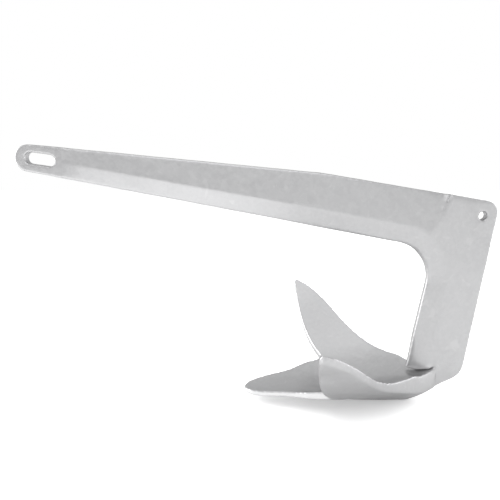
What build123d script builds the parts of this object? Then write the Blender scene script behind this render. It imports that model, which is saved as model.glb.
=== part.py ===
"""Claw anchor, cast steel, hot-dip galvanised.

A bent shank carries a slotted eye at its front end and turns down at the elbow into an arm.
A three-fluke claw is welded under the foot of the arm.  Two drawing frames are used:

  shank frame   X along the beam towards the elbow, Z square to it, origin at the outer corner
                of the elbow;
  stance frame  Z up and X towards the rear, with the claw flat on the ground.

Everything is moved at the end so that the origin is at the middle of the footprint, on the ground.
Y is the width, and the anchor is the same on both sides of Y = 0.
"""
import os
from math import atan2, cos, degrees, pi, radians, sin, sqrt, tan

from build123d import *

# ---------------------------------------------------------------- driving dimensions, mm
# Shank, seen from the side
beam_length = 570.0            # outer corner of the elbow to the end of the eye
beam_pitch = 8.0               # degrees, the beam falls towards the elbow
eye_end_radius = 15.5          # round front end
eye_centre_drop = 25.2         # middle of the eye end below the outer corner
bend_position = 216.0          # crown of the top edge, forward of the outer corner
bend_rise = 5.0                # crown above the outer corner
throat_depth = 64.7            # outer corner down to the sharp throat corner
throat_radius = 45.0           # round in the throat
corner_radius = 14.0           # round on the outer corner
arm_width_top = 65.5           # back edge to throat edge, at the throat
arm_width_foot = 70.0          # the same at the foot
arm_height = 213.5             # outer corner down to the front of the foot
foot_slope = 13.0              # degrees, the foot rises to the back edge

# Shank, thickness across Y
edge_thickness = 8.0           # along every outer edge
eye_thickness = 13.0           # flat eye plate
ridge_thickness_front = 13.8   # ridge, just behind the eye
ridge_thickness_bend = 19.0    # ridge, at the crown
ridge_thickness = 20.5         # ridge, at the elbow and down the arm
inner_facet_width = 21.5       # ridge to the lower edge of the beam and to the throat edge
outer_facet_width = 45.0       # ridge to the back edge of the arm
facet_start = 37.0             # ends of the eye plate and of the facets, behind the eye middle
facet_fade = 30.0              # length over which the flat plate turns into two facets

# Eye slot and trip-line hole
slot_length = 36.0
slot_width = 14.0
slot_end_wall = 10.8           # material between the slot and the end of the eye
slot_rise = 0.4                # slot middle above the middle of the eye end
trip_hole_radius = 5.5
trip_hole_inset = 17.8         # from the top edge and from the back edge

# Claw, in the stance frame; half-widths are measured from Y = 0
foot_height = 48.4             # front of the arm's foot above the ground
claw_setback = 199.0           # crotch line forward of the outer corner of the elbow
dish_floor = 21.3              # inner floor of the dish above the ground, at the crotch line
fluke_fall = 0.045             # slope of the centre fluke down to its nose
dish_rise = 0.228              # slope of the dish floor up to the foot of the arm
dish_rise_start = 23.0         # where the rise starts, behind the crotch line
dish_rise_blend = 15.0         # softness of that change of slope
dish_curve_radius = 108.0      # round of the dish across its middle
horn_straight_from = 114.0     # half-width past which the side flukes run straight
rim_thickness = 5.0            # along the rim of the dish
keel_flat_start = 58.0         # keel lies level on the ground from here back, behind the crotch line
keel_lift = 0.07               # slope of the keel up to the nose, forward of that
keel_half_width = 33.0         # half-width at which the extra thickness of the keel has halved
nose_keel_half_width = 14.0    # the same, at the nose
claw_half_width = 153.0        # tips of the side flukes
horn_sweep = 30.0              # those tips forward of the crotch line
crotch_half_width = 56.0       # notches between the centre fluke and the side flukes
nose_reach = 104.0             # crotch line to the nose of the centre fluke
horn_tip_radius = 3.0
crotch_radius = 5.0

# Heel, in the shank frame
heel_drop = 21.7               # back of the foot down to the sharp corner of the heel
heel_slope = 35.0              # degrees, line of the keel up to the heel
heel_radius = 26.0
foot_seat = 40.0               # length of the arm's foot that stands on the claw
root_overlap = 4.0             # dish carried on behind the front of that seat
heel_overlap = 12.0            # heel carried on into the dish, forward of the heel line

# Butt welds, prepared as a double V
weld_root_gap = 2.0
weld_face_width = 9.0
seam_top = 61.0                # elbow seam on the top edge, forward of the outer corner
seam_lean = 15.0               # degrees, the seam leans forward on its way down

# ---------------------------------------------------------------- shank outline
eye_u = -(beam_length - eye_end_radius)
eye_v = -eye_centre_drop
throat_u = -arm_width_top
throat_v = -throat_depth
ridge_half = ridge_thickness / 2
edge_half = edge_thickness / 2


def line_height(u, start, end):
    """Height at u of the straight line through two (u, v) points."""
    return start[1] + (u - start[0]) * (end[1] - start[1]) / (end[0] - start[0])


def top_edge(u):
    bend = (-bend_position, bend_rise)
    if u < -bend_position:
        return line_height(u, (eye_u, eye_v + eye_end_radius), bend)
    return line_height(u, bend, (0.0, 0.0))


def bottom_edge(u):
    return line_height(u, (eye_u, eye_v - eye_end_radius), (throat_u, throat_v))


def along(point, heading, distance):
    """Point moved by a distance in the direction of a heading in radians."""
    return (point[0] + distance * cos(heading), point[1] + distance * sin(heading))


# Headings of the lower edge of the beam and of the throat edge of the arm, and the throat round
throat_corner = (throat_u, throat_v)
arm_foot_inner = (-arm_width_foot, -arm_height)
arm_foot_outer = (0.0, -arm_height + arm_width_foot * tan(radians(foot_slope)))
beam_heading = atan2(throat_v - bottom_edge(eye_u), throat_u - eye_u)
arm_heading = atan2(arm_foot_inner[1] - throat_v, arm_foot_inner[0] - throat_u)
throat_tangent = throat_radius * tan((beam_heading - arm_heading) / 2)
throat_start = along(throat_corner, beam_heading, -throat_tangent)
throat_end = along(throat_corner, arm_heading, throat_tangent)
throat_centre = along(throat_start, beam_heading - pi / 2, throat_radius)


def both_sides(solid):
    return solid + mirror(solid, Plane.XZ)


def upright(points):
    """Flat face in the X-Z plane through the given points."""
    return Plane.XZ * make_face(Polyline(*points, close=True))


def slab(face, half_thickness):
    """Face in the X-Z plane made solid, equally to both sides of Y = 0."""
    return extrude(face, amount=half_thickness, both=True)


def beam_section(u, edge, ridge):
    """Six-sided section across the beam: blunt edges above and below, thickest at the ridge."""
    top = top_edge(u)
    bottom = bottom_edge(u)
    middle = bottom + min(inner_facet_width, (top - bottom) / 2)
    points = [(edge / 2, top), (ridge / 2, middle), (edge / 2, bottom)]
    points += [(-y, z) for y, z in reversed(points)]
    return Plane.YZ.offset(u) * make_face(Polyline(*points, close=True))


def facet_cutter(start, end, width):
    """Wedges that slope both faces of a plate down from the ridge to the edge start-end.

    The plate lies to the left of the way from start to end."""
    length = sqrt((end[0] - start[0]) ** 2 + (end[1] - start[1]) ** 2)
    turn = degrees(atan2(end[1] - start[1], end[0] - start[0]))
    slope = (ridge_half - edge_half) / width
    outside = 5.0
    tall = ridge_half + outside
    wedge = [
        (edge_half - slope * outside, -outside),
        (ridge_half, width),
        (tall, width),
        (tall, -outside),
    ]
    prism = extrude(Plane.YZ * make_face(Polyline(*wedge, close=True)), amount=length)
    return Pos(start[0], 0, start[1]) * Rot(0, -turn, 0) * both_sides(prism)


def throat_cutter():
    """Cones that carry the inner facets round the throat."""
    slope = (ridge_half - edge_half) / inner_facet_width
    extra = 1.0
    cone = Cone(
        bottom_radius=throat_radius,
        top_radius=throat_radius + inner_facet_width + extra / slope,
        height=ridge_half - edge_half + extra,
        align=(Align.CENTER, Align.CENTER, Align.MIN),
    )
    return both_sides(Pos(throat_centre[0], -edge_half, throat_centre[1]) * Rot(90, 0, 0) * cone)


# ---------------------------------------------------------------- shank
def eye_plate():
    """Flat front end of the beam, before its slot is cut."""
    end = eye_u + facet_start
    face = upright([
        (eye_u, eye_v + eye_end_radius),
        (end, top_edge(end)),
        (end, bottom_edge(end)),
        (eye_u, eye_v - eye_end_radius),
    ])
    face += Plane.XZ * Pos(eye_u, eye_v) * Circle(eye_end_radius)
    return slab(face, eye_thickness / 2)


def beam_loft():
    """Beam from the eye plate to past the elbow seam, as facets between cross-sections."""
    start = eye_u + facet_start
    stations = [
        (start, eye_thickness, eye_thickness),
        (start + facet_fade, edge_thickness, ridge_thickness_front),
        (-bend_position, edge_thickness, ridge_thickness_bend),
        (throat_start[0], edge_thickness, ridge_thickness),
        (throat_u / 2, edge_thickness, ridge_thickness),
    ]
    return loft([beam_section(*station) for station in stations], ruled=True)


def elbow_block():
    """Throat, elbow plate and arm, with the inner facets and the long facet to the back edge."""
    front = throat_start[0]
    outline = [
        (front, top_edge(front)),
        (0.0, 0.0),
        arm_foot_outer,
        arm_foot_inner,
        throat_corner,
        throat_start,
    ]
    block = slab(upright(outline), ridge_half)
    corner = Plane.XZ * Pos(*throat_centre) * Circle(throat_radius)
    filling = upright([throat_start, throat_corner, throat_end, throat_centre])
    block += slab(filling, ridge_half) - slab(corner, ridge_half)
    block -= facet_cutter(throat_end, arm_foot_inner, inner_facet_width)
    block -= facet_cutter((0.0, -arm_height), (0.0, top_edge(0.0) + corner_radius), outer_facet_width)
    return block - throat_cutter()


def round_corner(solid):
    """Outer corner of the elbow rounded in side view."""
    centre = (-corner_radius, -corner_radius)
    reach = 2 * corner_radius
    square = upright([centre, (centre[0], reach), (reach, reach), (reach, centre[1])])
    kept = Plane.XZ * Pos(*centre) * Circle(corner_radius)
    return solid - (slab(square, ridge_thickness) - slab(kept, ridge_thickness))


# ---------------------------------------------------------------- claw, stance frame
# Its origin is on the ground, straight below the outer corner of the elbow.
crotch_x = -claw_setback
pitch = radians(beam_pitch)
elbow_height = foot_height + arm_height * cos(pitch) - arm_width_foot * sin(pitch)


def to_stance(point):
    """Point of the shank frame, as X and Z in the stance frame."""
    u, v = point
    return (u * cos(pitch) + v * sin(pitch), elbow_height - u * sin(pitch) + v * cos(pitch))


seat_front = to_stance((-foot_seat, line_height(-foot_seat, arm_foot_inner, arm_foot_outer)))
seat_back = to_stance(arm_foot_outer)
heel_corner = to_stance((0.0, arm_foot_outer[1] - heel_drop))
keel_climb = tan(radians(heel_slope - beam_pitch))
heel_start_x = heel_corner[0] - heel_corner[1] / keel_climb


def ramp(distance, blend):
    """Nothing before zero and the distance itself after it, with a soft change between."""
    return (distance + sqrt(distance ** 2 + blend ** 2)) / 2


def floor_height(x):
    """Inner surface of the claw on its middle line."""
    behind = x - crotch_x
    rise = (dish_rise - fluke_fall) * ramp(behind - dish_rise_start, dish_rise_blend)
    return dish_floor + fluke_fall * behind + rise


def keel_height(x):
    """Outer surface of the claw on its middle line."""
    lift = keel_lift * ramp(crotch_x + keel_flat_start - x, dish_rise_blend)
    return lift + keel_climb * ramp(x - heel_start_x, dish_rise_blend / 2)


def keel_spread(x):
    """Half-width of the keel, narrower along the centre fluke."""
    ahead = ramp(crotch_x - x, dish_rise_blend) / nose_reach
    return keel_half_width + (nose_keel_half_width - keel_half_width) * min(1.0, ahead)


def bowl(width):
    """Climb of the inner surface from the middle line out to a half-width."""
    curved = min(abs(width), horn_straight_from)
    straight = abs(width) - curved
    return (curved ** 2 / 2 + straight * horn_straight_from) / dish_curve_radius


def inner_height(x, width):
    return floor_height(x) + bowl(width)


def outer_height(x, width):
    keel = floor_height(x) - keel_height(x)
    thickness = rim_thickness + (keel - rim_thickness) / (1 + (width / keel_spread(x)) ** 2)
    slope = min(abs(width), horn_straight_from) / dish_curve_radius
    return inner_height(x, width) - thickness * sqrt(1 + slope ** 2)


def claw_surface(height):
    """Smooth surface over the whole claw, with height(x, half-width) above the ground."""
    margin = 12.0
    rows = 15
    columns = 23
    front = crotch_x - nose_reach - margin
    length = seat_back[0] + margin - front
    width = 2 * (claw_half_width + margin)
    grid = []
    for row in range(rows):
        x = front + length * row / (rows - 1)
        across = [width * (column / (columns - 1) - 0.5) for column in range(columns)]
        grid.append([Vector(x, y, height(x, y)) for y in across])
    return Face.make_surface_from_array_of_points(grid, tol=0.001, min_deg=3)


def corners(plan, point):
    """The two corners of the plan at a point and at its mirror image."""
    both = [Vector(point[0], point[1]), Vector(point[0], -point[1])]
    return [plan.vertices().sort_by_distance(corner)[0] for corner in both]


def claw_outline():
    """Plan of the claw: centre fluke in front, side flukes swept forward, root at the arm."""
    root_x = seat_front[0] + root_overlap
    root = (root_x, ridge_half)
    reach = root_x - crotch_x
    horn_tip = (crotch_x - horn_sweep, claw_half_width)
    crotch = (crotch_x, crotch_half_width)
    nose = (crotch_x - nose_reach, 0.0)
    rim = Spline(
        root,
        (crotch_x + 0.718 * reach, 0.24 * claw_half_width),
        (crotch_x + 0.510 * reach, 0.40 * claw_half_width),
        (crotch_x + 0.222 * reach, 0.70 * claw_half_width),
        horn_tip,
    )
    horn_front = Spline(
        horn_tip,
        (crotch_x - 0.75 * horn_sweep, 0.69 * claw_half_width),
        crotch,
    )
    fluke = Spline(
        crotch,
        (crotch_x - 0.17 * nose_reach, 0.82 * crotch_half_width),
        (crotch_x - 0.39 * nose_reach, 0.63 * crotch_half_width),
        (crotch_x - 0.68 * nose_reach, 0.45 * crotch_half_width),
        (crotch_x - 0.90 * nose_reach, 0.28 * crotch_half_width),
        nose,
        tangents=[(-0.2, -1.0), (0.0, -1.0)],
    )
    half = [rim, horn_front, fluke]
    other = [mirror(edge, Plane.XZ) for edge in half]
    closing = Line(root, (root_x, -ridge_half))
    plan = make_face(half + other + [closing]).faces()[0]
    plan = plan.fillet_2d(horn_tip_radius, corners(plan, horn_tip))
    return plan.fillet_2d(crotch_radius, corners(plan, crotch))


def dish():
    """Claw plate between its outer and inner surfaces."""
    tall = 2 * claw_half_width
    below = 5.0
    up = (0, 0, 1)
    down = (0, 0, -1)
    plan = Pos(0, 0, -below) * extrude(claw_outline(), amount=tall, dir=up)
    plate = plan - extrude(claw_surface(inner_height), amount=tall, dir=up)
    return plate - extrude(claw_surface(outer_height), amount=tall, dir=down)


def heel():
    """Root of the claw, up to the foot of the arm."""
    front = heel_start_x - heel_overlap
    buried = 3.0
    outline = [
        seat_front,
        seat_back,
        heel_corner,
        (heel_start_x, 0.0),
        (front, 0.0),
        (front, floor_height(front) - buried),
        (seat_front[0], floor_height(seat_front[0]) - buried),
    ]
    face = upright(outline)
    corner = face.vertices().sort_by_distance(Vector(heel_corner[0], 0, heel_corner[1]))[0]
    root = slab(face.faces()[0].fillet_2d(heel_radius, [corner]), ridge_half)
    root -= facet_cutter(heel_corner, seat_back, outer_facet_width)
    root -= facet_cutter((heel_start_x, 0.0), heel_corner, outer_facet_width)
    return root - facet_cutter((front, 0.0), (heel_start_x, 0.0), outer_facet_width)


# ---------------------------------------------------------------- assembly
def weld_metal(start, heading, length):
    """Double-V butt weld through the whole plate, along a line in side view."""
    root = weld_root_gap / 2
    face = weld_face_width / 2
    proud = 2.0
    tall = ridge_half + proud
    spread = root + (face - root) * tall / ridge_half
    hourglass = [
        (tall, -spread),
        (tall, spread),
        (0.0, root),
        (-tall, spread),
        (-tall, -spread),
        (0.0, -root),
    ]
    prism = extrude(Plane.YZ * make_face(Polyline(*hourglass, close=True)), amount=length)
    return Pos(start[0], 0, start[1]) * Rot(0, -heading, 0) * prism


def half_space(start, heading, side):
    """Large box on one side of a line in side view: side 1 is to the left of the heading."""
    size = 2 * beam_length
    block = Box(size, size, size, align=(Align.CENTER, Align.CENTER, Align.MIN))
    if side < 0:
        block = Box(size, size, size, align=(Align.CENTER, Align.CENTER, Align.MAX))
    return Pos(start[0], 0, start[1]) * Rot(0, -heading, 0) * block


def largest(shape):
    return shape.solids().sort_by(SortBy.VOLUME)[-1]


# Elbow seam: from the top edge down and forward to the throat
seam_start = (-seam_top, top_edge(-seam_top))
seam_heading = -90.0 - seam_lean
seam_overrun = 20.0
seam_length = throat_depth + throat_radius + 2 * seam_overrun
seam_begin = along(seam_start, radians(seam_heading), -seam_overrun)

block = round_corner(elbow_block())
ridge_start = along(throat_start, beam_heading + pi / 2, inner_facet_width)
below_ridge = half_space(ridge_start, degrees(beam_heading), -1)
front_of_seam = half_space(seam_start, seam_heading, -1)
behind_seam = half_space(seam_start, seam_heading, 1)

slot = slab(
    Plane.XZ
    * Pos(-beam_length + slot_end_wall + slot_length / 2, eye_v + slot_rise)
    * SlotOverall(slot_length, slot_width),
    eye_thickness,
)
beam = (eye_plate() + beam_loft() + (block & below_ridge)) & front_of_seam
beam = beam - slot
trip_hole = slab(
    Plane.XZ * Pos(-trip_hole_inset, -trip_hole_inset) * Circle(trip_hole_radius),
    ridge_thickness,
)
arm = (block & behind_seam) - trip_hole
claw = dish() + heel()

# The shank goes over to the stance frame; the two welds take the metal out of the joints.
pose = Pos(0, 0, elbow_height) * Rot(0, beam_pitch, 0)
elbow_joint = pose * weld_metal(seam_begin, seam_heading, seam_length)
seat_length = sqrt((seat_back[0] - seat_front[0]) ** 2 + (seat_back[1] - seat_front[1]) ** 2)
seat_heading = degrees(atan2(seat_back[1] - seat_front[1], seat_back[0] - seat_front[0]))
heel_joint = weld_metal(seat_front, seat_heading, seat_length + seam_overrun)
beam = pose * beam
arm = pose * arm
nodes = {
    "shank_beam": beam - elbow_joint,
    "crown_arm": arm - elbow_joint - heel_joint,
    "claw": claw - heel_joint,
    "elbow_weld": (beam + arm) & elbow_joint,
    "heel_weld": (arm + claw) & heel_joint,
}
nodes = {name: largest(solid) for name, solid in nodes.items()}

# Origin: middle of the footprint, on the ground
extent = Compound(list(nodes.values())).bounding_box()
to_origin = Pos(-extent.center().X, -extent.center().Y, -extent.min.Z)

os.makedirs("parts", exist_ok=True)
for name, solid in nodes.items():
    placed = to_origin * solid
    placed.label = name
    export_step(placed, f"parts/{name}.step")
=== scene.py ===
import math

import bpy
import numpy as np
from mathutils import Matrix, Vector


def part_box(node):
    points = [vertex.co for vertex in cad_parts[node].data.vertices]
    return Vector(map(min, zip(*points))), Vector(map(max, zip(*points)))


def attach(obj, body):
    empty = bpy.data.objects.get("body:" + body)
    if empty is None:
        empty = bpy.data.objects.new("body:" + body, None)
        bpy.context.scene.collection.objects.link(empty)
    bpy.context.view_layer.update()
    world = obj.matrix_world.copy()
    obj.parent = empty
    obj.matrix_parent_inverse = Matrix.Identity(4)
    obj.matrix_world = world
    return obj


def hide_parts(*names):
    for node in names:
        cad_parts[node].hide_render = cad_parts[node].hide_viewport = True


# Claw anchor of cast steel: a beam, an arm and a three-fluke claw, butt welded and then
# hot-dip galvanised.  The zinc covers everything in one skin, so the skin is made from the
# design's own solids together, softened as a casting is, and cut apart along the two welds.
# Lengths are in metres.  X runs to the rear, Y is the width and Z is up.
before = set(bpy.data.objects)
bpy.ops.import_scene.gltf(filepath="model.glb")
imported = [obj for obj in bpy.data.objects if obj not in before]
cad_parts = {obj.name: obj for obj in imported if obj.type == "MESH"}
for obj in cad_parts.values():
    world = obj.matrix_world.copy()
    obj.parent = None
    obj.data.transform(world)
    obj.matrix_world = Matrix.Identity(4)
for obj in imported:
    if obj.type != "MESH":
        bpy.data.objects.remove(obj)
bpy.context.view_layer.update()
bpy.ops.object.select_all(action="DESELECT")

BODY = "root"
CASTING_SLOT = "galvanised_casting"
WELD_SLOT = "galvanised_weld"
MM = 0.001

# Skin of the castings
SKIN_GRID = 1.25 * MM              # spacing of the skin's points
EDGE_SOFTENING = 7                 # rounds of smoothing over every edge
FOOT_SOFTENING = 5                 # more rounds on the overhanging foot of the arm
ELBOW_SOFTENING = 60               # more rounds on the flanks of the elbow
HEEL_SOFTENING = 260               # more rounds on the flanks of the heel
SKIN_GROWTH = 0.35 * MM            # gives back what the smoothing takes off

# Unevenness of the poured surface: size of the lumps and their height
SURFACE_WAVES = ((55 * MM, 0.7 * MM), (16 * MM, 0.28 * MM), (5 * MM, 0.09 * MM))

# Elbow weld: a slice square to the plate, leaning forward on its way down
SEAM_LEAN = math.radians(23.0)
SEAM_HALF_WIDTH = 3.6 * MM
SEAM_CROWN = 0.12 * MM
SEAM_BLEND = 4.5 * MM
SEAM_LOWEST = 0.15                 # everything above this height belongs to the elbow
RIPPLE_SIZE = 3.5 * MM
RIPPLE_HEIGHT = 0.15 * MM

# Heel weld: a wedge that opens to the rear, from the front of the arm's seat
HEEL_OPENING_UP = math.radians(11.0)
HEEL_OPENING_DOWN = math.radians(2.0)
HEEL_FRONT_RISE = 1.4 * MM
HEEL_HALF_WIDTH = 15 * MM
HEEL_CUT_FORWARD = 60 * MM         # how far the cuts of the heel reach, forward and up
HEEL_CUT_UP = 40 * MM
CUT_REACH = 5 * MM                 # depth that tells on which side of a cut a part lies
CUT_FACE_ANGLE = math.radians(55)  # edges sharper than this stay crisp

elbow_low, elbow_high = (Vector(corner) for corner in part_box("elbow_weld"))
heel_low, heel_high = (Vector(corner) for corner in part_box("heel_weld"))
arm_low = Vector(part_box("crown_arm")[0])
claw_low = Vector(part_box("claw")[0])
seam_middle = (elbow_low + elbow_high) / 2
seam_normal = Vector((math.cos(SEAM_LEAN), 0.0, -math.sin(SEAM_LEAN)))
heel_front = Vector((heel_low.x, 0.0, (heel_low.z + heel_high.z) / 2))

# Stretches of the skin that are smoothed or moved.  Each pair is a distance from the middle of
# the stretch up to which the effect is full, and one past which there is none.
FOOT_ROUNDING_BACK = 15 * MM       # middle of the rounded stretch, behind the front of the arm
FOOT_ROUNDING_ALONG = (16 * MM, 24 * MM)
FOOT_ROUNDING_ACROSS = (10 * MM, 14 * MM)
FOOT_ROUNDING_UP = (8 * MM, 12 * MM)
ELBOW_ALONG = (12 * MM, 45 * MM)
HEEL_FLANK = heel_front + Vector((0.0, 0.0, -20 * MM))
HEEL_ALONG = (18 * MM, 38 * MM)
HEEL_ACROSS = (32 * MM, 48 * MM)
HEEL_UP = (26 * MM, 55 * MM)

ROOT_DIP = heel_front + Vector((-11 * MM, 0.0, -5 * MM))
ROOT_DROP = 4.5 * MM
ROOT_ALONG = (7 * MM, 25 * MM)
ROOT_ACROSS = (24 * MM, 46 * MM)
ROOT_UP = (9 * MM, 22 * MM)

FOOT_DROP = 4.0 * MM
FOOT_SLOPE = math.tan(math.radians(5.0))
FOOT_SKIN = 1 * MM                 # starts this far below the sloping underside
FOOT_BACK = 9 * MM                 # middle of the lowered stretch, behind the front of the arm
FOOT_ALONG = (18 * MM, 28 * MM)
FOOT_ACROSS = (12 * MM, 14 * MM)
FOOT_UP = (8 * MM, 40 * MM)

BELLY = Vector((claw_low.x + 75 * MM, 0.0, claw_low.z + 4 * MM))
BELLY_LIFT = 2.2 * MM
BELLY_ALONG = (22 * MM, 60 * MM)
BELLY_ACROSS = (35 * MM, 65 * MM)
BELLY_UP = (8 * MM, 20 * MM)

# Painted highlights, lightening the colour along edges that face a given way.  A facing is one
# component of the surface's normal, and a pair called TURN is how far it may differ from that
# before the painted highlight thins out, and before it ends.
NOSE_LENGTH = 104 * MM
NOSE_END = 8 * MM
RIM_FACING = -0.1
RIM_TURN = (0.4, 0.7)
RIM_ACROSS = (50 * MM, 58 * MM)
THROAT_FACING = -1.0
THROAT_TURN = (0.45, 0.8)
THROAT_FRONT = 10 * MM
THROAT_UP = (75 * MM, 105 * MM)
THROAT_SHARE = 0.15
FOOT_FACING = -0.6
FOOT_TURN = (0.35, 0.55)
# Stretch of the foot's underside that gets the painted highlight
FOOT_HIGHLIGHT_FRONT = 4 * MM
FOOT_HIGHLIGHT_ALONG = (26 * MM, 32 * MM)
FOOT_HIGHLIGHT_ACROSS = (11 * MM, 13 * MM)
FOOT_HIGHLIGHT_UP = (2 * MM, 6 * MM)


# ---------------------------------------------------------------- working on meshes
def only(piece):
    """Makes a piece the only one selected, and the active one."""
    bpy.ops.object.select_all(action="DESELECT")
    piece.select_set(True)
    bpy.context.view_layer.objects.active = piece


def edit_all(piece):
    """Opens a piece for editing with everything selected."""
    only(piece)
    bpy.ops.object.mode_set(mode="EDIT")
    bpy.ops.mesh.select_all(action="SELECT")


def done():
    bpy.ops.object.mode_set(mode="OBJECT")


def apply(piece, kind, **settings):
    """Adds a modifier with its settings and applies it."""
    only(piece)
    modifier = piece.modifiers.new(kind.title(), kind)
    for setting, value in settings.items():
        setattr(modifier, setting, value)
    bpy.ops.object.modifier_apply(modifier=modifier.name)


def copy_of(node):
    """A design solid as a new piece, with its loose triangles joined up."""
    piece = bpy.data.objects.new(node + "_solid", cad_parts[node].data.copy())
    piece.data.materials.clear()
    bpy.context.collection.objects.link(piece)
    edit_all(piece)
    bpy.ops.mesh.remove_doubles(threshold=0.01 * MM)
    done()
    return piece


def points(piece):
    """Places of a piece's vertices, one row each."""
    flat = np.empty(3 * len(piece.data.vertices))
    piece.data.vertices.foreach_get("co", flat)
    return flat.reshape(-1, 3)


def middles(piece):
    """Middles of a piece's faces, one row each."""
    flat = np.empty(3 * len(piece.data.polygons))
    piece.data.polygons.foreach_get("center", flat)
    return flat.reshape(-1, 3)


def fade(distance, inner, outer):
    """One up to the inner distance, nothing past the outer one, and a soft change between."""
    step = np.clip((outer - np.abs(distance)) / (outer - inner), 0.0, 1.0)
    return step * step * (3.0 - 2.0 * step)


def zone(piece, name, amount):
    """Vertex group that holds an amount from 0 to 1 for each vertex, in even steps."""
    levels = 20
    group = piece.vertex_groups.new(name=name)
    level = np.rint(amount * levels).astype(int)
    for step in range(1, levels + 1):
        group.add(np.nonzero(level == step)[0].tolist(), step / levels, "REPLACE")


# ---------------------------------------------------------------- the skin
def seam_distance(place):
    """Distances of points from the middle plane of the elbow seam."""
    return (place - np.array(seam_middle)) @ np.array(seam_normal)


def whole_skin():
    """All the solids as one closed skin, with the welds swelled a little to close up."""
    solids = [copy_of(node) for node in ("shank_beam", "crown_arm", "claw")]
    for node in ("elbow_weld", "heel_weld"):
        filling = copy_of(node)
        edit_all(filling)
        bpy.ops.transform.shrink_fatten(value=SKIN_GRID / 4)
        done()
        solids.append(filling)
    bpy.ops.object.select_all(action="DESELECT")
    for solid in solids:
        solid.select_set(True)
    bpy.context.view_layer.objects.active = solids[0]
    bpy.ops.object.join()
    skin = bpy.context.object
    skin.name = "anchor_skin"
    apply(skin, "REMESH", mode="VOXEL", voxel_size=SKIN_GRID)
    edit_all(skin)
    bpy.ops.mesh.separate(type="LOOSE")
    done()
    shells = sorted(bpy.context.selected_objects, key=lambda shell: len(shell.data.vertices))
    for inner in shells[:-1]:
        bpy.data.objects.remove(inner)
    return shells[-1]


def soften(skin):
    """Rounds every edge a little, the foot more, and evens the flanks of the elbow and heel."""
    apply(skin, "SMOOTH", factor=0.5, iterations=EDGE_SOFTENING)
    x, y, z = points(skin).T
    foot = fade(z - ROOT_DIP.z, *FOOT_ROUNDING_UP)
    foot = foot * fade(x - arm_low.x - FOOT_ROUNDING_BACK, *FOOT_ROUNDING_ALONG)
    zone(skin, "foot", foot * fade(y, *FOOT_ROUNDING_ACROSS))
    apply(skin, "SMOOTH", factor=0.5, iterations=FOOT_SOFTENING, vertex_group="foot")
    elbow = fade(seam_distance(points(skin)), *ELBOW_ALONG) * (z > SEAM_LOWEST)
    zone(skin, "elbow", elbow)
    heel = fade(x - HEEL_FLANK.x, *HEEL_ALONG) * fade(y, *HEEL_ACROSS)
    zone(skin, "heel", heel * fade(z - HEEL_FLANK.z, *HEEL_UP))
    flanks = {"factor": 0.5, "use_x": False, "use_z": False}
    apply(skin, "SMOOTH", iterations=ELBOW_SOFTENING, vertex_group="elbow", **flanks)
    apply(skin, "SMOOTH", iterations=HEEL_SOFTENING, vertex_group="heel", **flanks)
    apply(skin, "DISPLACE", strength=SKIN_GROWTH, mid_level=0.0)


def paint_edge_highlights(skin):
    """Marks painted highlights by which way the surface faces: the rim of the nose, the foot and
    the throat edge.
    """
    x, y, z = points(skin).T
    normal = np.empty(3 * len(x))
    skin.data.vertices.foreach_get("normal", normal)
    facing_x, _, facing_z = normal.reshape(-1, 3).T
    rim = fade(facing_z - RIM_FACING, *RIM_TURN) * fade(y, *RIM_ACROSS)
    rim *= fade(x - claw_low.x, NOSE_LENGTH - NOSE_END, NOSE_LENGTH) * (z < arm_low.z)
    throat = fade(facing_x - THROAT_FACING, *THROAT_TURN) * (x > arm_low.x - THROAT_FRONT)
    throat *= fade(z - arm_low.z, *THROAT_UP) * (z > arm_low.z)
    height = z - arm_low.z - (x - arm_low.x) * FOOT_SLOPE + FOOT_DROP
    foot = fade(facing_z - FOOT_FACING, *FOOT_TURN) * fade(height, *FOOT_HIGHLIGHT_UP)
    foot = foot * fade(y, *FOOT_HIGHLIGHT_ACROSS)
    foot *= (x > arm_low.x - FOOT_HIGHLIGHT_FRONT) * fade(x - arm_low.x, *FOOT_HIGHLIGHT_ALONG)
    # Painted highlight: amount by which the colour is lightened, from which way each vertex faces
    highlight_values = skin.data.attributes.new("painted_edge_highlight", "FLOAT", "POINT")
    highlight_values.data.foreach_set("value", np.maximum(np.maximum(rim, throat * THROAT_SHARE), foot))


def shift(skin, name, amount, direction, distance):
    """Moves part of the skin along an axis, by a distance times the amount at each vertex."""
    zone(skin, name, amount)
    settings = {"direction": direction, "strength": distance, "mid_level": 0.0}
    apply(skin, "DISPLACE", vertex_group=name, **settings)


def settle(skin):
    """Lowers the underside of the foot with the root of the dish, and lifts the nose's belly."""
    x, y, z = points(skin).T
    root = fade(x - ROOT_DIP.x, *ROOT_ALONG) * fade(z - ROOT_DIP.z, *ROOT_UP)
    shift(skin, "root", root * fade(y, *ROOT_ACROSS), "Z", -ROOT_DROP)
    height = z - arm_low.z - (x - arm_low.x) * FOOT_SLOPE + FOOT_SKIN
    foot = fade(x - arm_low.x - FOOT_BACK, *FOOT_ALONG) * fade(y, *FOOT_ACROSS)
    shift(skin, "foot_end", foot * (height > 0) * fade(height, *FOOT_UP), "Z", -FOOT_DROP)
    belly = fade(x - BELLY.x, *BELLY_ALONG) * fade(z - BELLY.z, *BELLY_UP)
    shift(skin, "belly", belly * fade(y, *BELLY_ACROSS), "Z", BELLY_LIFT)


def roughen(skin):
    """Gives the skin the slight lumps of sand-cast steel under thick zinc."""
    for size, height in SURFACE_WAVES:
        texture = bpy.data.textures.new("cast_lumps", "CLOUDS")
        texture.noise_scale = size
        texture.noise_depth = 1
        lumps = {"texture": texture, "texture_coords": "LOCAL", "mid_level": 0.5}
        apply(skin, "DISPLACE", strength=height, **lumps)


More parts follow.
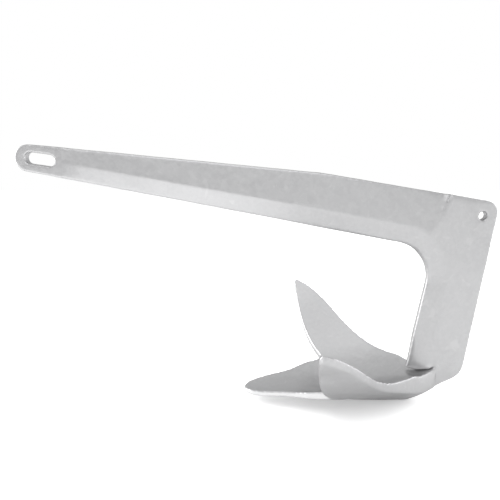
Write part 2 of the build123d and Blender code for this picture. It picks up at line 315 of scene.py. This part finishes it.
def raise_welds(skin):
    """Low crown of weld metal along the elbow seam, faintly rippled."""
    place = points(skin)
    seam = fade(seam_distance(place), SEAM_HALF_WIDTH / 2, SEAM_HALF_WIDTH + SEAM_BLEND)
    zone(skin, "seam", seam * (place[:, 2] > SEAM_LOWEST))
    apply(skin, "DISPLACE", strength=SEAM_CROWN, mid_level=0.0, vertex_group="seam")
    ripple = bpy.data.textures.new("weld_ripples", "CLOUDS")
    ripple.noise_scale = RIPPLE_SIZE
    lumps = {"texture": ripple, "texture_coords": "LOCAL", "mid_level": 0.5}
    apply(skin, "DISPLACE", strength=RIPPLE_HEIGHT, vertex_group="seam", **lumps)


def side_of(piece, point, normal, near):
    """Positive where a piece lies on the normal's side of a plane, close to the plane."""
    place = points(piece)
    height = (place - np.array(point)) @ np.array(normal)
    return float(np.sum(height[near(*place.T) & (np.abs(height) < CUT_REACH)]))


def cut(piece, point, normal, near):
    """Cuts a piece through its faces where near is true and closes both parts.

    Returns the part on the side the normal points to, and the part behind it.
    """
    only(piece)
    bpy.ops.object.mode_set(mode="EDIT")
    bpy.ops.mesh.select_mode(type="FACE")
    bpy.ops.mesh.select_all(action="DESELECT")
    done()
    piece.data.polygons.foreach_set("select", near(*middles(piece).T))
    bpy.ops.object.mode_set(mode="EDIT")
    bpy.ops.mesh.bisect(plane_co=point, plane_no=normal)
    bpy.ops.mesh.edge_split(type="EDGE")
    bpy.ops.mesh.select_all(action="SELECT")
    bpy.ops.mesh.separate(type="LOOSE")
    done()
    parts = sorted(bpy.context.selected_objects, key=lambda part: -len(part.data.vertices))
    halves = parts[:2]
    for crumb in parts[2:]:
        bpy.data.objects.remove(crumb)
    for half in halves:
        edit_all(half)
        bpy.ops.mesh.select_mode(type="EDGE")
        bpy.ops.mesh.select_all(action="DESELECT")
        bpy.ops.mesh.select_non_manifold(extend=False)
        bpy.ops.mesh.fill()
        bpy.ops.mesh.select_all(action="SELECT")
        bpy.ops.mesh.normals_make_consistent(inside=False)
        done()
    halves.sort(key=lambda half: side_of(half, point, normal, near))
    return halves[-1], halves[0]


skin = whole_skin()
settle(skin)
soften(skin)
roughen(skin)
raise_welds(skin)
# Painted highlights along the edges that face the lights
paint_edge_highlights(skin)


def at_elbow(x, y, z):
    """True in the part of the anchor that the elbow cuts go through."""
    return z > SEAM_LOWEST


def at_heel(x, y, z):
    """True in the part of the anchor that the heel cuts go through."""
    behind = x > heel_front.x - HEEL_CUT_FORWARD
    return behind & (np.abs(y) < HEEL_HALF_WIDTH) & (z < arm_low.z + HEEL_CUT_UP)


rest, beam = cut(skin, seam_middle - seam_normal * SEAM_HALF_WIDTH, seam_normal, at_elbow)
rest, elbow_bead = cut(rest, seam_middle + seam_normal * SEAM_HALF_WIDTH, seam_normal, at_elbow)
heel_up = Vector((-math.sin(HEEL_OPENING_UP), 0.0, math.cos(HEEL_OPENING_UP)))
heel_down = Vector((-math.sin(HEEL_OPENING_DOWN), 0.0, math.cos(HEEL_OPENING_DOWN)))
arm, rest = cut(rest, heel_front, heel_up, at_heel)
heel_bead, claw = cut(rest, heel_front - Vector((0, 0, HEEL_FRONT_RISE)), heel_down, at_heel)
for piece, name, node, slot in (
    (beam, "beam_casting", "shank_beam", CASTING_SLOT),
    (elbow_bead, "elbow_weld_bead", "elbow_weld", WELD_SLOT),
    (arm, "arm_casting", "crown_arm", CASTING_SLOT),
    (heel_bead, "heel_weld_bead", "heel_weld", WELD_SLOT),
    (claw, "claw_casting", "claw", CASTING_SLOT),
):
    piece.name = name
    piece.data.name = name
    piece.vertex_groups.clear()
    only(piece)
    bpy.ops.object.shade_smooth_by_angle(angle=CUT_FACE_ANGLE)
    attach(piece, BODY)
    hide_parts(node)


# ---------------------------------------------------------------- finishes
class Value:
    """A socket of a finish, so that a sum over the surface reads as a sum."""

    def __init__(self, finish, socket):
        self.finish = finish
        self.socket = socket

    def combine(self, operation, first, second):
        return self.finish.node("ShaderNodeMath", {"operation": operation}, {0: first, 1: second})

    def __add__(self, other):
        return self.combine("ADD", self, other)

    def __radd__(self, other):
        return self.combine("ADD", other, self)

    def __mul__(self, other):
        return self.combine("MULTIPLY", self, other)

    def __rmul__(self, other):
        return self.combine("MULTIPLY", other, self)


class Finish:
    """A material, with its shader and the place on the piece in metres."""

    def __init__(self, name):
        self.material = bpy.data.materials.new(name)
        self.material.use_nodes = True
        self.tree = self.material.node_tree
        self.shader = self.tree.nodes["Principled BSDF"]
        self.place = self.node("ShaderNodeTexCoord", out="Object")

    def node(self, kind, settings=None, sockets=None, out=0):
        """Adds a node: its settings, the values or links of its sockets, and the output wanted."""
        made = self.tree.nodes.new(kind)
        for name, value in (settings or {}).items():
            setattr(made, name, value)
        for key, value in (sockets or {}).items():
            self.plug(made.inputs[key], value)
        return Value(self, made.outputs[out])

    def plug(self, socket, value):
        if isinstance(value, Value):
            self.tree.links.new(value.socket, socket)
        else:
            socket.default_value = value

    def noise(self, size, detail=2.0, warp=0.0):
        """Soft cloudy pattern from 0 to 1, with lumps of a size in metres."""
        sockets = {"Vector": self.place, "Scale": 1.0 / size, "Detail": detail, "Distortion": warp}
        return self.node("ShaderNodeTexNoise", None, sockets)

    def crystals(self, size):
        """Grey of each zinc crystal, from 0 to 1."""
        sockets = {"Vector": self.place, "Scale": 1.0 / size}
        colour = self.node("ShaderNodeTexVoronoi", None, sockets, out="Color")
        return self.node("ShaderNodeSeparateColor", None, {0: colour})

    def ramp(self, value, low, high):
        """Value stretched so that low gives 0 and high gives 1."""
        sockets = {"Value": value, "From Min": low, "From Max": high}
        return self.node("ShaderNodeMapRange", {"interpolation_type": "SMOOTHSTEP"}, sockets)

    def blend(self, amount, first, second):
        """Colour that goes from the first to the second as the amount goes from 0 to 1."""
        settings = {"data_type": "RGBA"}
        return self.node("ShaderNodeMix", settings, {0: amount, 6: first, 7: second}, out=2)


# Galvanising: grey of the zinc, size of its crystals, and sizes of its cloudy patterns
CASTING_LIGHTNESS = 0.392
WELD_LIGHTNESS = 0.396
CASTING_CRYSTALS = 3.5 * MM
WELD_CRYSTALS = 2.2 * MM
CLOUDS_SIZE = 60 * MM
STREAKS_SIZE = 22 * MM
PATCHES_SIZE = 9 * MM
PITS_SIZE = 2.6 * MM
GRAINS_SIZE = 0.9 * MM
DARK_ZINC = (0.93, 0.93, 0.945)
LIGHT_ZINC = (1.07, 1.07, 1.08)
# Lightening of the painted highlight along edges that face the lights
PAINTED_HIGHLIGHT_ZINC = (1.5, 1.5, 1.51)
ZINC_METALLIC = 0.8
ZINC_EDGE_TINT = 0.45
BUMP_STRENGTH = 0.35
BUMP_DEPTH = 0.5 * MM


def shade(lightness, tint):
    """Colour of a lightness, tinted channel by channel."""
    return tuple(lightness * share for share in tint) + (1.0,)


def zinc(name, lightness, crystal_size):
    """Dull hot-dip zinc: cloudy, faintly crystalline, bright where it ran, with painted highlights
    along the marked edges.
    """
    finish = Finish(name)
    clouds = finish.noise(CLOUDS_SIZE, 3.0)
    patches = finish.noise(PATCHES_SIZE, 4.0, 0.6)
    crystals = finish.crystals(crystal_size)
    grains = finish.noise(GRAINS_SIZE, 3.0)
    streaks = finish.ramp(finish.noise(STREAKS_SIZE, 5.0, 1.5), 0.60, 0.72)
    tone = 0.25 * clouds + 0.35 * patches + 0.16 * crystals + 0.14 * grains + 0.22 * streaks
    dark = shade(lightness, DARK_ZINC)
    light = shade(lightness, LIGHT_ZINC)
    colour = finish.blend(finish.ramp(tone, 0.20, 0.75), dark, light)
    # Painted highlight: the colour turns lighter along edges marked by which way they face
    highlight_amount = finish.node("ShaderNodeAttribute", {"attribute_name": "painted_edge_highlight"}, out="Fac")
    colour = finish.blend(highlight_amount * (0.75 + 0.5 * patches), colour, shade(lightness, PAINTED_HIGHLIGHT_ZINC))
    height = 0.6 * patches + 0.25 * finish.noise(PITS_SIZE, 3.0) + 0.15 * grains
    relief = {"Strength": BUMP_STRENGTH, "Distance": BUMP_DEPTH, "Height": height}
    bump = finish.node("ShaderNodeBump", None, relief)
    shader = finish.shader.inputs
    finish.plug(shader["Base Color"], colour)
    finish.plug(shader["Roughness"], 0.27 + 0.14 * patches + 0.06 * crystals)
    finish.plug(shader["Normal"], bump)
    shader["Metallic"].default_value = ZINC_METALLIC
    shader["Specular Tint"].default_value = shade(ZINC_EDGE_TINT, (1.0, 1.0, 1.0))
    return finish.material


casting_zinc = zinc("galvanised_casting_zinc", CASTING_LIGHTNESS, CASTING_CRYSTALS)
weld_zinc = zinc("galvanised_weld_zinc", WELD_LIGHTNESS, WELD_CRYSTALS)
for piece in (beam, arm, claw):
    piece.data.materials.append(casting_zinc)
for piece in (elbow_bead, heel_bead):
    piece.data.materials.append(weld_zinc)


# ---------------------------------------------------------------- studio
# Softboxes: degrees round from the front towards the right, degrees up, and radiance
SOFTBOXES = (
    ("front_high_softbox", 0.0, 50.0, 1.25),
    ("top_softbox", 0.0, 88.0, 0.9),
    ("left_softbox", -100.0, 12.0, 6.2),
    ("right_softbox", 90.0, 15.0, 1.25),
    ("right_front_softbox", 25.0, 0.0, 0.35),
    ("back_left_softbox", -135.0, 20.0, 0.5),
    ("back_right_softbox", 120.0, 10.0, 3.6),
)
SOFTBOX_SIZE = 1.2
SOFTBOX_DISTANCE = 1.7
STUDIO_MIDDLE = Vector((0.0, 0.0, 0.15))

# Light that a pale table sends up, from the front left and from all of the floor
TABLE_GLOW_PLACE = (-0.45, -0.5, 0.01)
TABLE_GLOW_SIZE = (0.9, 0.5)
TABLE_GLOW = 0.75
TABLE_LIGHT = 0.25
FLOOR_SIZE = 8.0
FLOOR_COLOUR = (0.92, 0.92, 0.92, 1.0)
FLOOR_ROUGHNESS = 0.7
WHITE = (1.0, 1.0, 1.0, 1.0)

# Camera: place, how far it looks down, lens and sideways shift of the picture
CAMERA_PLACE = (-0.0061, -0.595, 0.3036)
CAMERA_DOWN = math.radians(10.54)
LENS = 36.0
SENSOR_WIDTH = 36.0
SIDE_SHIFT = -0.008


def pale_floor():
    """Even pale finish that glows a little."""
    finish = Finish("pale_floor")
    shader = finish.shader.inputs
    shader["Base Color"].default_value = FLOOR_COLOUR
    shader["Roughness"].default_value = FLOOR_ROUGHNESS
    shader["Emission Color"].default_value = WHITE
    shader["Emission Strength"].default_value = TABLE_LIGHT
    return finish.material


def softbox(name, place, aim, width, height, radiance):
    """Large even light, looking along a direction."""
    data = bpy.data.lights.new(name, "AREA")
    data.shape = "RECTANGLE"
    data.size = width
    data.size_y = height
    data.energy = radiance * math.pi * width * height
    lamp = bpy.data.objects.new(name, data)
    bpy.context.collection.objects.link(lamp)
    lamp.location = place
    lamp.rotation_euler = Vector(aim).to_track_quat("-Z", "Y").to_euler()
    lamp.visible_camera = False


def studio():
    """Pale floor under a white surround, lit by the softboxes and by the table's own glow."""
    bpy.ops.mesh.primitive_plane_add(size=FLOOR_SIZE, location=(0.0, 0.0, 0.0))
    floor = bpy.context.object
    floor.name = "studio_floor"
    floor.data.materials.append(pale_floor())
    world = bpy.data.worlds.new("studio_white")
    world.use_nodes = True
    surround = world.node_tree.nodes["Background"].inputs
    surround["Color"].default_value = WHITE
    surround["Strength"].default_value = 1.0
    bpy.context.scene.world = world
    for name, azimuth, elevation, radiance in SOFTBOXES:
        around = math.radians(azimuth)
        above = math.radians(elevation)
        away = Vector((
            math.cos(above) * math.sin(around),
            -math.cos(above) * math.cos(around),
            math.sin(above),
        ))
        place = STUDIO_MIDDLE + SOFTBOX_DISTANCE * away
        softbox(name, place, -away, SOFTBOX_SIZE, SOFTBOX_SIZE, radiance)
    softbox("table_glow", TABLE_GLOW_PLACE, (0.0, 0.0, 1.0), *TABLE_GLOW_SIZE, TABLE_GLOW)


def camera():
    data = bpy.data.cameras.new("studio_camera")
    data.lens = LENS
    data.sensor_width = SENSOR_WIDTH
    data.shift_x = SIDE_SHIFT
    made = bpy.data.objects.new("studio_camera", data)
    bpy.context.collection.objects.link(made)
    made.location = CAMERA_PLACE
    made.rotation_euler = (math.pi / 2 - CAMERA_DOWN, 0.0, 0.0)
    bpy.context.scene.camera = made


studio()
camera()
bpy.context.scene.view_settings.view_transform = "Standard"
